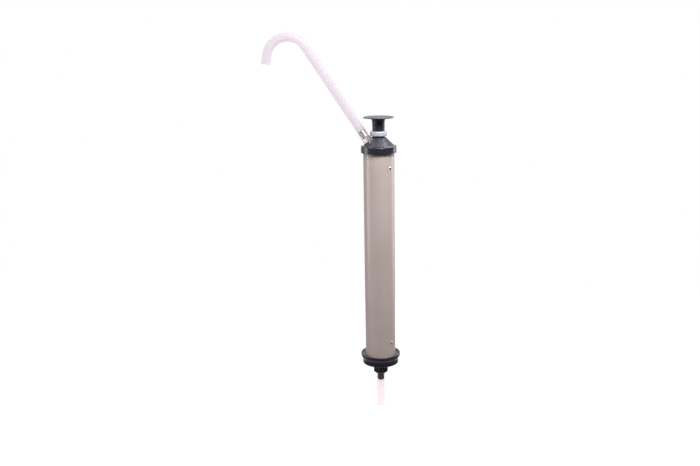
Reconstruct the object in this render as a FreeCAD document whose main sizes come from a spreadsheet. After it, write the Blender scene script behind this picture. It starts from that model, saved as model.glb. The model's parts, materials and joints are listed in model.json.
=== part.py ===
import FreeCAD, Part
import math
import os
import Sketcher

# A hand-operated lift pump for emptying bilges. Pulling the knob lifts a valved piston in a
# plastic barrel; water enters through the foot valve in the base cap and leaves through the
# hooked spout on the top cap.
#
# Frame: millimetres, +Z up along the barrel. The origin is on the barrel's axis, halfway
# between the two caps, where a bulkhead clip holds the pump. The spout leans towards -X and
# the front is -Y. The plunger is at the bottom of its stroke and both valve discs are shut.

SIZES = {
    # Barrel: a length of 50 mm pipe held in a socket of each cap.
    "barrel_radius": 25.0,
    "barrel_wall": 2.4,
    "barrel_half": 169.0,
    "fit_gap": 0.1,
    # Top cap, with heights counted from the lower edge of its collar.
    "collar_radius": 28.5,
    "collar_height": 10.6,
    "top_socket": 8.0,
    "shoulder_radius": 25.4,
    "shoulder_height": 11.0,
    "cone_top_radius": 11.2,
    "cone_top_height": 24.9,
    "neck_radius": 9.4,
    "neck_height": 31.4,
    "gland_pocket_radius": 6.8,
    "gland_pocket_floor": 15.0,
    "rod_hole_radius": 4.3,
    "cavity_top_radius": 10.0,
    "cavity_top_height": 12.0,
    "cavity_foot_height": 5.0,
    "spigot_inner_radius": 19.5,
    "spigot_length": 30.0,
    "cone_blend": 5.0,
    "edge_round": 0.7,
    # O-rings and their grooves, and the screws that pin the caps to the barrel.
    "ring_radius": 21.6,
    "ring_section": 1.0,
    "groove_radius": 20.6,
    "groove_half": 1.2,
    "groove_inset": 7.0,
    "screw_inset": 23.0,
    "screw_azimuth": -45.0,
    "screw_shank_radius": 1.2,
    "screw_shank": 5.5,
    "screw_hole_radius": 1.25,
    "screw_head_radius": 2.3,
    "screw_head_height": 1.1,
    "screw_dome": 0.8,
    "pilot_length": 70.0,
    # Gland nut, bush and seal round the rod.
    "gland_nut_radius": 13.25,
    "gland_nut_height": 8.0,
    "gland_nut_gap": 1.5,
    "gland_nut_roof": 1.8,
    "gland_nut_round": 1.8,
    "gland_eye_radius": 4.4,
    "bush_radius": 6.75,
    "bush_flange_radius": 8.8,
    "bush_flange": 1.2,
    "bush_length": 10.4,
    "seal_height": 5.8,
    "seal_lip_inner": 4.7,
    "seal_groove_radius": 5.4,
    "seal_lip_outer": 6.1,
    "seal_groove": 2.2,
    "running_gap": 0.05,
    "buffer_height": 3.0,
    "buffer_outer_radius": 22.2,
    # Outlet nozzle: its axis leans from +Z and meets the pump's axis at nozzle_root. The
    # fitting sits in a spot-face sunk into the cone.
    # The "reach" sizes are distances along the nozzle's axis from that point.
    "nozzle_tilt": 32.9,
    "nozzle_root": 161.4,
    "seat_reach": 30.1,
    "spotface_radius": 9.4,
    "spotface_depth": 12.0,
    "nozzle_hole_radius": 5.2,
    "nozzle_hole_depth": 6.0,
    "passage_radius": 4.0,
    "passage_start_reach": 15.7,
    "outlet_washer": 0.6,
    "outlet_washer_radius": 6.2,
    "outlet_hex_flats": 15.4,
    "outlet_hex_length": 7.8,
    "outlet_spigot_radius": 5.15,
    "outlet_spigot": 6.3,
    "outlet_bore_radius": 3.9,
    # Hose tails: saw-tooth ridges that the tubes push over.
    "barb_root_radius": 5.2,
    "barb_neck": 1.4,
    "barb_pitch": 3.9,
    "swivel_barb_radius": 5.95,
    "grip_barb_radius": 6.0,
    # Tubes: 15 mm outside, 12 mm bore.
    "tube_radius": 7.5,
    "tube_bore_radius": 6.0,
    "tube_end_gap": 0.2,
    "spout_leg": 170.2,
    "spout_bend_radius": 33.0,
    "spout_bend": 139.0,
    "spout_tip": 13.0,
    "suction_length": 63.8,
    # Base cap, with heights counted from its flat underside.
    "base_drop": 17.4,
    "base_radius": 30.0,
    "base_wall_height": 8.1,
    "flange_radius": 32.75,
    "flange_foot_height": 13.1,
    "flange_lip_radius": 29.8,
    "flange_recess_radius": 28.6,
    "flange_recess_height": 15.2,
    "base_floor": 5.9,
    "base_spigot_radius": 18.5,
    "ledge_radius": 16.8,
    "ledge_height": 16.4,
    "base_round": 1.5,
    # Inlet fitting through the base, with its washer and lock nut.
    "inlet_hole_radius": 9.1,
    "inlet_spigot_radius": 9.0,
    "inlet_washer": 1.0,
    "inlet_washer_radius": 12.0,
    "inlet_hex_flats": 23.4,
    "inlet_hex_length": 17.0,
    "inlet_corner_radius": 13.0,
    "inlet_chamfer": 3.0,
    "inlet_bore_radius": 4.2,
    "inlet_rise": 9.6,
    "lock_nut_flats": 26.0,
    "lock_nut_height": 3.5,
    # Foot valve: a rubber disc that lifts on a headed pin.
    "seat_radius": 18.4,
    "seat_height": 3.5,
    "seat_port_radius": 2.6,
    "seat_port_pitch": 9.5,
    "foot_disc_radius": 14.0,
    "disc_height": 2.4,
    "foot_pin_radius": 2.0,
    "foot_pin_head_radius": 4.5,
    "foot_pin_head": 1.5,
    "foot_pin_rivet_radius": 3.5,
    "foot_pin_rivet": 1.2,
    "foot_lift": 5.0,
    "disc_gap": 0.07,
    # Plunger: rod, piston and its valve, with heights counted from the piston's underside.
    "rod_radius": 4.0,
    "piston_base": 136.0,
    "piston_radius": 22.2,
    "piston_height": 14.0,
    "cup_seat_radius": 18.8,
    "cup_low": 2.5,
    "cup_height": 9.0,
    "cup_lip_radius": 21.5,
    "cup_valley_radius": 20.6,
    "cup_inner_lip_radius": 19.8,
    "cup_valley": 5.0,
    "cup_heel": 1.5,
    "cup_heel_radius": 22.2,
    "port_radius": 2.8,
    "port_pitch": 11.5,
    "piston_disc_radius": 17.0,
    "sleeve_radius": 5.5,
    "sleeve_height": 7.0,
    "stop_washer_radius": 8.0,
    "stop_washer": 1.6,
    "clip_radius": 6.0,
    "clip_groove_radius": 3.6,
    "clip_height": 1.0,
    "clip_opening": 3.0,
    "piston_washer": 1.2,
    "piston_washer_radius": 8.5,
    "piston_nut": 6.5,
    "piston_nut_flats": 13.0,
    "rod_tail": 1.3,
    # Knob, with heights counted from the foot of its stem.
    "knob_gap": 0.3,
    "knob_stem_radius": 9.8,
    "knob_neck_radius": 10.0,
    "knob_neck_height": 14.5,
    "knob_throat_radius": 11.0,
    "knob_throat_height": 18.6,
    "knob_under_radius": 13.5,
    "knob_under_height": 20.0,
    "knob_radius": 24.4,
    "knob_rim_low": 20.7,
    "knob_rim_high": 22.3,
    "knob_dish_radius": 15.0,
    "knob_dish": 21.9,
    "knob_rim_round": 0.6,
    "insert_radius": 6.0,
    "insert_low": 2.0,
    "insert_high": 14.0,
}

PORT_COUNT = 6
BARB_RIDGES_OUTLET = 3
BARB_RIDGES_INLET = 3
INLET_END = " + ".join(["inlet_hex_length", "barb_neck"] + ["barb_pitch"] * BARB_RIDGES_INLET)

doc = FreeCAD.newDocument("bilge_pump")
sheet = doc.addObject("Spreadsheet::Sheet", "sizes")
for row, (alias, size) in enumerate(SIZES.items(), 1):
    sheet.set("A%d" % row, alias)
    sheet.set("B%d" % row, str(size))
    sheet.setAlias("B%d" % row, alias)
doc.recompute()

nodes = []


# ---------------------------------------------------------------- helpers

def expression(words):
    """The sheet expression for a sum such as 'barrel_radius - barrel_wall'."""
    return " ".join("sizes." + word if word[0].isalpha() else word for word in words.split())


def value(words):
    """The number that such a sum comes to now."""
    total = 0.0
    sign = 1.0
    for word in words.split():
        if word in "+-":
            sign = -1.0 if word == "-" else 1.0
        else:
            total += sign * (sheet.get(word) if word[0].isalpha() else float(word))
    return total


def origin_plane(body, role):
    """The body's own origin plane with this role."""
    return next(item for item in body.Origin.OriginFeatures if item.Role == role)


def new_sketch(body, name, role, height="0"):
    """A sketch on one of the body's origin planes, moved along its normal by height."""
    sketch = body.newObject("Sketcher::SketchObject", name)
    sketch.AttachmentSupport = [(origin_plane(body, role), "")]
    sketch.MapMode = "FlatFace"
    if height != "0":
        sketch.setExpression("AttachmentOffset.Base.z", expression(height))
    return sketch


def bind(sketch, kind, name, words, *where):
    """A driving dimension that follows the sheet."""
    number = sketch.addConstraint(Sketcher.Constraint(kind, *where, value(words)))
    sketch.renameConstraint(number, name)
    sketch.setExpression("Constraints." + name, expression(words))


def pin_point(sketch, line, across, along):
    """Fix the start point of a line by two dimensions from the sketch's origin."""
    if across == "0":
        sketch.addConstraint(Sketcher.Constraint("PointOnObject", line, 1, -2))
    else:
        bind(sketch, "DistanceX", "across%d" % line, across, -1, 1, line, 1)
    if along == "0":
        sketch.addConstraint(Sketcher.Constraint("PointOnObject", line, 1, -1))
    else:
        bind(sketch, "DistanceY", "along%d" % line, along, -1, 1, line, 1)


def closed_outline(sketch, outline):
    """A closed outline of straight lines through points given as sums of sheet cells."""
    corners = [FreeCAD.Vector(value(across), value(along), 0) for across, along in outline]
    count = len(corners)
    for line in range(count):
        sketch.addGeometry(Part.LineSegment(corners[line], corners[(line + 1) % count]))
    for line in range(count):
        sketch.addConstraint(Sketcher.Constraint("Coincident", line, 2, (line + 1) % count, 1))
    for line, (across, along) in enumerate(outline):
        pin_point(sketch, line, across, along)


def lift(item, height):
    """Set an object's height in the frame from the sheet."""
    item.setExpression("Placement.Base.z", expression(height))


def turned(label, base, outline):
    """A body turned about +Z from (radius, height) points, with heights counted from base."""
    body = doc.addObject("PartDesign::Body", label)
    sketch = new_sketch(body, label + "_outline", "XZ_Plane")
    closed_outline(sketch, outline)
    revolution = body.newObject("PartDesign::Revolution", label + "_turned")
    revolution.Profile = sketch
    revolution.ReferenceAxis = (sketch, ["V_Axis"])
    revolution.Angle = 360.0
    if base != "0":
        lift(body, base)
    return body


def circle_edges(shape, rings):
    """Names of the edges that are circles about the axis with these radii and heights."""
    names = []
    for number, edge in enumerate(shape.Edges, 1):
        if not isinstance(edge.Curve, Part.Circle):
            continue
        for radius, height in rings:
            near_radius = abs(edge.Curve.Radius - value(radius)) < 0.01
            near_height = abs(edge.Curve.Center.z - value(height)) < 0.01
            if near_radius and near_height:
                names.append("Edge%d" % number)
    if len(names) != len(rings):
        raise ValueError("expected %d edges, found %s" % (len(rings), names))
    return names


def dress(body, kind, name, size, rings):
    """A Fillet or a Chamfer on circular edges of the body so far."""
    doc.recompute()
    base = body.Tip
    names = circle_edges(base.Shape, rings)
    feature = body.newObject("PartDesign::" + kind, name)
    feature.Base = (base, names)
    feature.setExpression("Radius" if kind == "Fillet" else "Size", expression(size))
    return feature


def hexagon_pad(body, name, flats, bore, height, length, turn=0.0):
    """A hexagonal pad with a round hole, its first flat facing the turn angle from +X."""
    sketch = new_sketch(body, name + "_outline", "XY_Plane", height)
    corner = value(flats) / math.sqrt(3.0)
    first = math.radians(turn - 30.0)
    points = [
        FreeCAD.Vector(corner * math.cos(first + index * math.pi / 3),
                       corner * math.sin(first + index * math.pi / 3), 0)
        for index in range(6)
    ]
    for index in range(6):
        sketch.addGeometry(Part.LineSegment(points[index], points[(index + 1) % 6]))
    up = FreeCAD.Vector(0, 0, 1)
    guide = sketch.addGeometry(Part.Circle(FreeCAD.Vector(), up, corner), True)
    hole = sketch.addGeometry(Part.Circle(FreeCAD.Vector(), up, value(bore)))
    for index in range(6):
        sketch.addConstraint(Sketcher.Constraint("Coincident", index, 2, (index + 1) % 6, 1))
        sketch.addConstraint(Sketcher.Constraint("PointOnObject", index, 1, guide))
        if index:
            sketch.addConstraint(Sketcher.Constraint("Equal", 0, index))
    sketch.addConstraint(Sketcher.Constraint("Coincident", guide, 3, -1, 1))
    sketch.addConstraint(Sketcher.Constraint("Coincident", hole, 3, -1, 1))
    sketch.addConstraint(Sketcher.Constraint("Vertical", 0))
    number = sketch.addConstraint(Sketcher.Constraint("Radius", guide, corner))
    sketch.setExpression("Constraints[%d]" % number, expression(flats) + " / sqrt(3)")
    bind(sketch, "Radius", "bore", bore, hole)
    pad = body.newObject("PartDesign::Pad", name)
    pad.Profile = sketch
    pad.setExpression("Length", expression(length))
    return pad


def ring_of_ports(body, name, radius, pitch):
    """Round holes through the whole body, evenly spaced about its axis."""
    doc.recompute()
    before = body.Shape.Volume
    sketch = new_sketch(body, name + "_circle", "XY_Plane")
    centre = FreeCAD.Vector(value(pitch), 0, 0)
    sketch.addGeometry(Part.Circle(centre, FreeCAD.Vector(0, 0, 1), value(radius)))
    sketch.addConstraint(Sketcher.Constraint("PointOnObject", 0, 3, -1))
    bind(sketch, "DistanceX", "pitch", pitch, -1, 1, 0, 3)
    bind(sketch, "Radius", "port", radius, 0)
    pocket = body.newObject("PartDesign::Pocket", name)
    pocket.Profile = sketch
    pocket.Type = "ThroughAll"
    pocket.Reversed = True
    pattern = body.newObject("PartDesign::PolarPattern", name + "_ring")
    pattern.Originals = [pocket]
    pattern.Axis = (sketch, ["N_Axis"])
    pattern.Angle = 360.0
    pattern.Occurrences = PORT_COUNT
    body.Tip = pattern
    doc.recompute()
    if not body.Shape.Volume < before:
        raise ValueError(name + " removed nothing")


def rod_cylinder(name, radius, length):
    """A plain cylinder along its own +Z that follows the sheet."""
    cylinder = doc.addObject("Part::Cylinder", name)
    cylinder.setExpression("Radius", expression(radius))
    cylinder.setExpression("Height", expression(length))
    return cylinder


def along_nozzle(item, reach):
    """Lean an object to the nozzle's axis, with its own origin at this reach along it."""
    item.Placement = FreeCAD.Placement(FreeCAD.Vector(), FreeCAD.Vector(0, -1, 0), value("nozzle_tilt"))
    distance = "(" + expression(reach) + ")"
    item.setExpression("Placement.Rotation.Angle", "sizes.nozzle_tilt")
    item.setExpression("Placement.Base.x", "-1 * " + distance + " * sin(sizes.nozzle_tilt)")
    item.setExpression("Placement.Base.z", "sizes.nozzle_root + " + distance + " * cos(sizes.nozzle_tilt)")
    return item


def radial(item, reach, height, opposite):
    """Turn an object's +Z outwards at the screws' azimuth, or opposite, at a reach from the axis."""
    azimuth = value("screw_azimuth") + (180.0 if opposite else 0.0)
    heading = FreeCAD.Rotation(FreeCAD.Vector(0, 0, 1), azimuth)
    outward = heading.multiply(FreeCAD.Rotation(FreeCAD.Vector(0, 1, 0), 90))
    place = heading.multVec(FreeCAD.Vector(value(reach), 0, 0))
    item.Placement = FreeCAD.Placement(place + FreeCAD.Vector(0, 0, value(height)), outward)
    return item


def screw_hole(name, radius, height):
    """A drill right across the pump on the screws' line, for both of a cap's screws."""
    drill = rod_cylinder(name, radius, "pilot_length")
    azimuth = math.radians(value("screw_azimuth"))
    reach = value("pilot_length") / 2
    start = FreeCAD.Vector(-reach * math.cos(azimuth), -reach * math.sin(azimuth), value(height))
    turn = radial(drill, "0", height, False).Placement.Rotation
    drill.Placement = FreeCAD.Placement(start, turn)
    return drill


def fuse(name, shapes):
    """One solid from several."""
    joined = doc.addObject("Part::MultiFuse", name)
    joined.Shapes = shapes
    return joined


def cut(name, base, tools):
    """The base with every tool taken out of it."""
    result = doc.addObject("Part::Cut", name)
    result.Base = base
    result.Tool = tools[0] if len(tools) == 1 else fuse(name + "_tools", tools)
    return result


def keep(item, label):
    """Name a finished piece and list it for export."""
    item.Label = label
    nodes.append(item)
    return item


def barb_outline(start, peak, bore, ridges):
    """Outline points of a hose tail that points along +Z from start, outside and end only."""
    points = [("barb_root_radius", start)]
    at = start + " + barb_neck"
    for ridge in range(ridges):
        points.append(("barb_root_radius", at))
        points.append((peak, at))
        at = at + " + barb_pitch"
    points.append(("barb_root_radius", at))
    points.append((bore, at))
    return points


# ---------------------------------------------------------------- barrel

def make_barrel():
    """The pipe between the caps, drilled for both caps' screws."""
    tube = turned("barrel_pipe", "0 - barrel_half - base_drop + base_floor", [
        ("barrel_radius - barrel_wall", "0"),
        ("barrel_radius", "0"),
        ("barrel_radius", "barrel_half + barrel_half + top_socket + base_drop - base_floor"),
        ("barrel_radius - barrel_wall", "barrel_half + barrel_half + top_socket + base_drop - base_floor"),
    ])
    drills = [
        screw_hole("barrel_drill_top", "screw_hole_radius", "barrel_half - screw_inset"),
        screw_hole("barrel_drill_base", "screw_hole_radius", "0 - barrel_half + screw_inset"),
    ]
    keep(cut("barrel_drilled", tube, drills), "barrel_tube")


# ---------------------------------------------------------------- top cap and gland

def make_top_cap():
    """The cone-shaped cap: turned, rounded, then cut for the nozzle and drilled for its screws."""
    spigot = "barrel_radius - barrel_wall - fit_gap"
    shell = turned("top_cap_turned", "barrel_half", [
        ("spigot_inner_radius", "0 - spigot_length"),
        (spigot, "0 - spigot_length"),
        (spigot, "0 - groove_inset - groove_half"),
        ("groove_radius", "0 - groove_inset - groove_half"),
        ("groove_radius", "0 - groove_inset + groove_half"),
        (spigot, "0 - groove_inset + groove_half"),
        (spigot, "top_socket"),
        ("barrel_radius + fit_gap", "top_socket"),
        ("barrel_radius + fit_gap", "0"),
        ("collar_radius", "0"),
        ("collar_radius", "collar_height"),
        ("shoulder_radius", "shoulder_height"),
        ("cone_top_radius", "cone_top_height"),
        ("neck_radius", "cone_top_height"),
        ("neck_radius", "neck_height"),
        ("gland_pocket_radius", "neck_height"),
        ("gland_pocket_radius", "gland_pocket_floor"),
        ("rod_hole_radius", "gland_pocket_floor"),
        ("rod_hole_radius", "cavity_top_height"),
        ("cavity_top_radius", "cavity_top_height"),
        ("spigot_inner_radius", "cavity_foot_height"),
    ])
    dress(shell, "Fillet", "top_cap_blend", "cone_blend", [("shoulder_radius", "shoulder_height")])
    dress(shell, "Fillet", "top_cap_edges", "edge_round", [
        ("collar_radius", "0"),
        ("collar_radius", "collar_height"),
        ("cone_top_radius", "cone_top_height"),
    ])
    passage = rod_cylinder("nozzle_passage", "passage_radius", "seat_reach - passage_start_reach")
    tools = [
        along_nozzle(rod_cylinder("nozzle_spotface", "spotface_radius", "spotface_depth"), "seat_reach"),
        along_nozzle(rod_cylinder("nozzle_hole", "nozzle_hole_radius", "nozzle_hole_depth + fit_gap"),
                     "seat_reach - nozzle_hole_depth"),
        along_nozzle(passage, "passage_start_reach"),
        screw_hole("top_cap_drill", "screw_shank_radius", "barrel_half - screw_inset"),
    ]
    keep(cut("top_cap_drilled", shell, tools), "top_cap")


def make_gland():
    """The gland nut, bush and seal round the rod, and the buffer that ends the upstroke."""
    nut = turned("gland_nut", "barrel_half + cone_top_height + gland_nut_gap", [
        ("neck_radius + fit_gap", "0"),
        ("gland_nut_radius", "0"),
        ("gland_nut_radius", "gland_nut_height"),
        ("gland_eye_radius", "gland_nut_height"),
        ("gland_eye_radius", "gland_nut_height - gland_nut_roof"),
        ("neck_radius + fit_gap", "gland_nut_height - gland_nut_roof"),
    ])
    dress(nut, "Fillet", "gland_nut_rounds", "gland_nut_round", [
        ("gland_nut_radius", "0"),
        ("gland_nut_radius", "gland_nut_height"),
    ])
    keep(nut, "gland_nut")
    keep(turned("rod_bush", "barrel_half + neck_height - bush_length", [
        ("rod_radius + running_gap", "0"),
        ("bush_radius", "0"),
        ("bush_radius", "bush_length"),
        ("bush_flange_radius", "bush_length"),
        ("bush_flange_radius", "bush_length + bush_flange"),
        ("rod_radius + running_gap", "bush_length + bush_flange"),
    ]), "rod_bush")
    keep(turned("rod_seal", "barrel_half + gland_pocket_floor + fit_gap", [
        ("rod_radius + running_gap", "0"),
        ("seal_lip_inner", "0"),
        ("seal_groove_radius", "seal_groove"),
        ("seal_lip_outer", "0"),
        ("bush_radius", "0"),
        ("bush_radius", "seal_height"),
        ("rod_radius + running_gap", "seal_height"),
    ]), "rod_seal")
    keep(turned("upstroke_buffer", "barrel_half - spigot_length - buffer_height", [
        ("spigot_inner_radius", "0"),
        ("buffer_outer_radius", "0"),
        ("buffer_outer_radius", "buffer_height"),
        ("spigot_inner_radius", "buffer_height"),
    ]), "upstroke_buffer")


def make_oring(label, height):
    """A rubber ring in a spigot's groove, pressed against the barrel's bore."""
    ring = doc.addObject("Part::Torus", label)
    ring.setExpression("Radius1", expression("ring_radius"))
    ring.setExpression("Radius2", expression("ring_section"))
    lift(ring, height)
    keep(ring, label)


def make_screws(label, height):
    """The two screws of one cap, opposite each other, as one node."""
    pair = []
    for opposite in (False, True):
        name = label + ("_back" if opposite else "_front")
        screw = turned(name, "0", [
            ("0", "0 - screw_shank"),
            ("screw_shank_radius", "0 - screw_shank"),
            ("screw_shank_radius", "0"),
            ("screw_head_radius", "0"),
            ("screw_head_radius", "screw_head_height"),
            ("0", "screw_head_height"),
        ])
        dress(screw, "Fillet", name + "_dome", "screw_dome", [("screw_head_radius", "screw_head_height")])
        pair.append(radial(screw, "barrel_radius", height, opposite))
    group = doc.addObject("Part::Compound", label + "_pair")
    group.Links = pair
    keep(group, label)


# ---------------------------------------------------------------- outlet

def make_outlet():
    """The washer and the hexagon fitting with its hose tail, on the nozzle's axis."""
    keep(along_nozzle(turned("outlet_washer", "0", [
        ("outlet_spigot_radius", "0"),
        ("outlet_washer_radius", "0"),
        ("outlet_washer_radius", "outlet_washer"),
        ("outlet_spigot_radius", "outlet_washer"),
    ]), "seat_reach"), "outlet_washer")

    outline = [
        ("outlet_bore_radius", "0 - outlet_spigot"),
        ("outlet_spigot_radius", "0 - outlet_spigot"),
        ("outlet_spigot_radius", "0"),
        ("barb_root_radius", "0"),
    ]
    outline += barb_outline(
        "outlet_hex_length", "swivel_barb_radius", "outlet_bore_radius", BARB_RIDGES_OUTLET)
    fitting = turned("outlet_fitting", "0", outline)
    hexagon_pad(fitting, "outlet_hex", "outlet_hex_flats", "outlet_bore_radius", "0", "outlet_hex_length")
    keep(along_nozzle(fitting, "seat_reach + outlet_washer"), "outlet_fitting")


def make_spout():
    """The formed tube: a long straight leg, one bend back over itself and a short straight tip."""
    body = doc.addObject("PartDesign::Body", "spout_tube")
    section = new_sketch(body, "spout_section", "XY_Plane")
    up = FreeCAD.Vector(0, 0, 1)
    for number, radius in enumerate(("tube_radius", "tube_bore_radius")):
        section.addGeometry(Part.Circle(FreeCAD.Vector(), up, value(radius)))
        section.addConstraint(Sketcher.Constraint("Coincident", number, 3, -1, 1))
        bind(section, "Radius", radius, radius, number)

    leg = value("spout_leg")
    bend_radius = value("spout_bend_radius")
    bend = math.radians(value("spout_bend"))
    tip = value("spout_tip")
    bend_start = FreeCAD.Vector(0, leg, 0)
    centre = FreeCAD.Vector(-bend_radius, leg, 0)
    bend_end = centre + FreeCAD.Vector(bend_radius * math.cos(bend), bend_radius * math.sin(bend), 0)
    tube_end = bend_end + FreeCAD.Vector(-tip * math.sin(bend), tip * math.cos(bend), 0)
    path = new_sketch(body, "spout_path", "XZ_Plane")
    path.addGeometry(Part.LineSegment(FreeCAD.Vector(), bend_start))
    path.addGeometry(Part.ArcOfCircle(Part.Circle(centre, up, bend_radius), 0.0, bend))
    path.addGeometry(Part.LineSegment(bend_end, tube_end))
    path.addConstraint(Sketcher.Constraint("Coincident", 0, 1, -1, 1))
    path.addConstraint(Sketcher.Constraint("Vertical", 0))
    path.addConstraint(Sketcher.Constraint("Tangent", 0, 2, 1, 1))
    path.addConstraint(Sketcher.Constraint("Tangent", 1, 2, 2, 1))
    bind(path, "Distance", "leg", "spout_leg", 0)
    bind(path, "Radius", "bend_radius", "spout_bend_radius", 1)
    bind(path, "Distance", "tip", "spout_tip", 2)
    number = path.addConstraint(Sketcher.Constraint("Angle", 1, bend))
    path.setExpression("Constraints[%d]" % number, "sizes.spout_bend")

    pipe = body.newObject("PartDesign::AdditivePipe", "spout_pipe")
    pipe.Profile = section
    pipe.Spine = path
    along_nozzle(body, "seat_reach + outlet_washer + outlet_hex_length + tube_end_gap")
    keep(body, "spout_tube")


# ---------------------------------------------------------------- base cap and inlet

BASE = "0 - barrel_half - base_drop"


def make_base_cap():
    """The flanged cap at the foot of the barrel, drilled for its screws."""
    spigot = "barrel_radius - barrel_wall - fit_gap"
    shell = turned("base_cap_turned", BASE, [
        ("inlet_hole_radius", "0"),
        ("base_radius", "0"),
        ("base_radius", "base_wall_height"),
        ("flange_radius", "flange_foot_height"),
        ("flange_radius", "base_drop"),
        ("flange_lip_radius", "base_drop"),
        ("flange_recess_radius", "flange_recess_height"),
        ("barrel_radius + fit_gap", "flange_recess_height"),
        ("barrel_radius + fit_gap", "base_floor"),
        (spigot, "base_floor"),
        (spigot, "base_drop + groove_inset - groove_half"),
        ("groove_radius", "base_drop + groove_inset - groove_half"),
        ("groove_radius", "base_drop + groove_inset + groove_half"),
        (spigot, "base_drop + groove_inset + groove_half"),
        (spigot, "base_drop + spigot_length"),
        ("base_spigot_radius", "base_drop + spigot_length"),
        ("base_spigot_radius", "ledge_height"),
        ("ledge_radius", "ledge_height"),
        ("ledge_radius", "base_floor"),
        ("inlet_hole_radius", "base_floor"),
    ])
    dress(shell, "Fillet", "base_cap_foot", "base_round", [("base_radius", "0")])
    dress(shell, "Fillet", "base_cap_edges", "edge_round", [
        ("flange_radius", "flange_foot_height"),
        ("flange_radius", "base_drop"),
        ("flange_lip_radius", "base_drop"),
    ])
    drill = screw_hole("base_cap_drill", "screw_shank_radius", "0 - barrel_half + screw_inset")
    keep(cut("base_cap_drilled", shell, [drill]), "base_cap")


def make_inlet():
    """The inlet's washer, hexagon fitting, lock nut and suction tube."""
    keep(turned("inlet_washer", BASE + " - inlet_washer", [
        ("inlet_spigot_radius", "0"),
        ("inlet_washer_radius", "0"),
        ("inlet_washer_radius", "inlet_washer"),
        ("inlet_spigot_radius", "inlet_washer"),
    ]), "inlet_washer")

    # The fitting is modelled barb upwards and then turned over, with its own zero at the top
    # face of the hexagon, which bears on the washer.
    outline = [
        ("inlet_bore_radius", "0 - inlet_rise"),
        ("inlet_spigot_radius", "0 - inlet_rise"),
        ("inlet_spigot_radius", "0"),
        ("barb_root_radius", "0"),
    ]
    outline += barb_outline("inlet_hex_length", "grip_barb_radius", "inlet_bore_radius", BARB_RIDGES_INLET)
    fitting = turned("inlet_stem", "0", outline)
    hexagon_pad(fitting, "inlet_hex", "inlet_hex_flats", "inlet_bore_radius", "0", "inlet_hex_length")
    envelope = turned("inlet_envelope", "0", [
        ("0", "0 - inlet_rise"),
        ("inlet_spigot_radius", "0 - inlet_rise"),
        ("inlet_spigot_radius", "0"),
        ("inlet_corner_radius - edge_round", "0"),
        ("inlet_corner_radius", "edge_round"),
        ("inlet_corner_radius", "inlet_hex_length - inlet_chamfer"),
        ("inlet_corner_radius - inlet_chamfer", "inlet_hex_length"),
        ("grip_barb_radius", "inlet_hex_length"),
        ("grip_barb_radius", INLET_END),
        ("0", INLET_END),
    ])
    common = doc.addObject("Part::Common", "inlet_turned_corners")
    common.Base = fitting
    common.Tool = envelope
    common.Placement = FreeCAD.Placement(FreeCAD.Vector(), FreeCAD.Vector(1, 0, 0), 180)
    lift(common, BASE + " - inlet_washer")
    keep(common, "inlet_fitting")

    nut = doc.addObject("PartDesign::Body", "inlet_lock_nut")
    hexagon_pad(nut, "lock_nut_hex", "lock_nut_flats", "inlet_hole_radius", "0", "lock_nut_height")
    lift(nut, BASE + " + base_floor")
    keep(nut, "inlet_lock_nut")

    keep(turned("suction_tube", BASE + " - inlet_washer - inlet_hex_length - tube_end_gap - suction_length", [
        ("tube_bore_radius", "0"),
        ("tube_radius", "0"),
        ("tube_radius", "suction_length"),
        ("tube_bore_radius", "suction_length"),
    ]), "suction_tube")


def make_foot_valve():
    """The ported seat in the base cap, its rubber disc and the pin that guides it."""
    seat = turned("foot_valve_seat", BASE + " + ledge_height", [
        ("foot_pin_radius", "0"),
        ("seat_radius", "0"),
        ("seat_radius", "seat_height"),
        ("foot_pin_radius", "seat_height"),
    ])
    ring_of_ports(seat, "seat_ports", "seat_port_radius", "seat_port_pitch")
    keep(seat, "foot_valve_seat")
    keep(turned("foot_valve_disc", BASE + " + ledge_height + seat_height", [
        ("foot_pin_radius + disc_gap", "0"),
        ("foot_disc_radius", "0"),
        ("foot_disc_radius", "disc_height"),
        ("foot_pin_radius + disc_gap", "disc_height"),
    ]), "foot_valve_disc")
    keep(turned("foot_valve_pin", BASE + " + ledge_height", [
        ("0", "0 - foot_pin_rivet"),
        ("foot_pin_rivet_radius", "0 - foot_pin_rivet"),
        ("foot_pin_rivet_radius", "0"),
        ("foot_pin_radius", "0"),
        ("foot_pin_radius", "seat_height + disc_height + foot_lift"),
        ("foot_pin_head_radius", "seat_height + disc_height + foot_lift"),
        ("foot_pin_head_radius", "seat_height + disc_height + foot_lift + foot_pin_head"),
        ("0", "seat_height + disc_height + foot_lift + foot_pin_head"),
    ]), "foot_valve_pin")


# ---------------------------------------------------------------- plunger

PISTON = "0 - piston_base"
CLIP_LOW = "piston_height + sleeve_height + stop_washer"
KNOB = "barrel_half + cone_top_height + gland_nut_gap + gland_nut_height + knob_gap"


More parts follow.
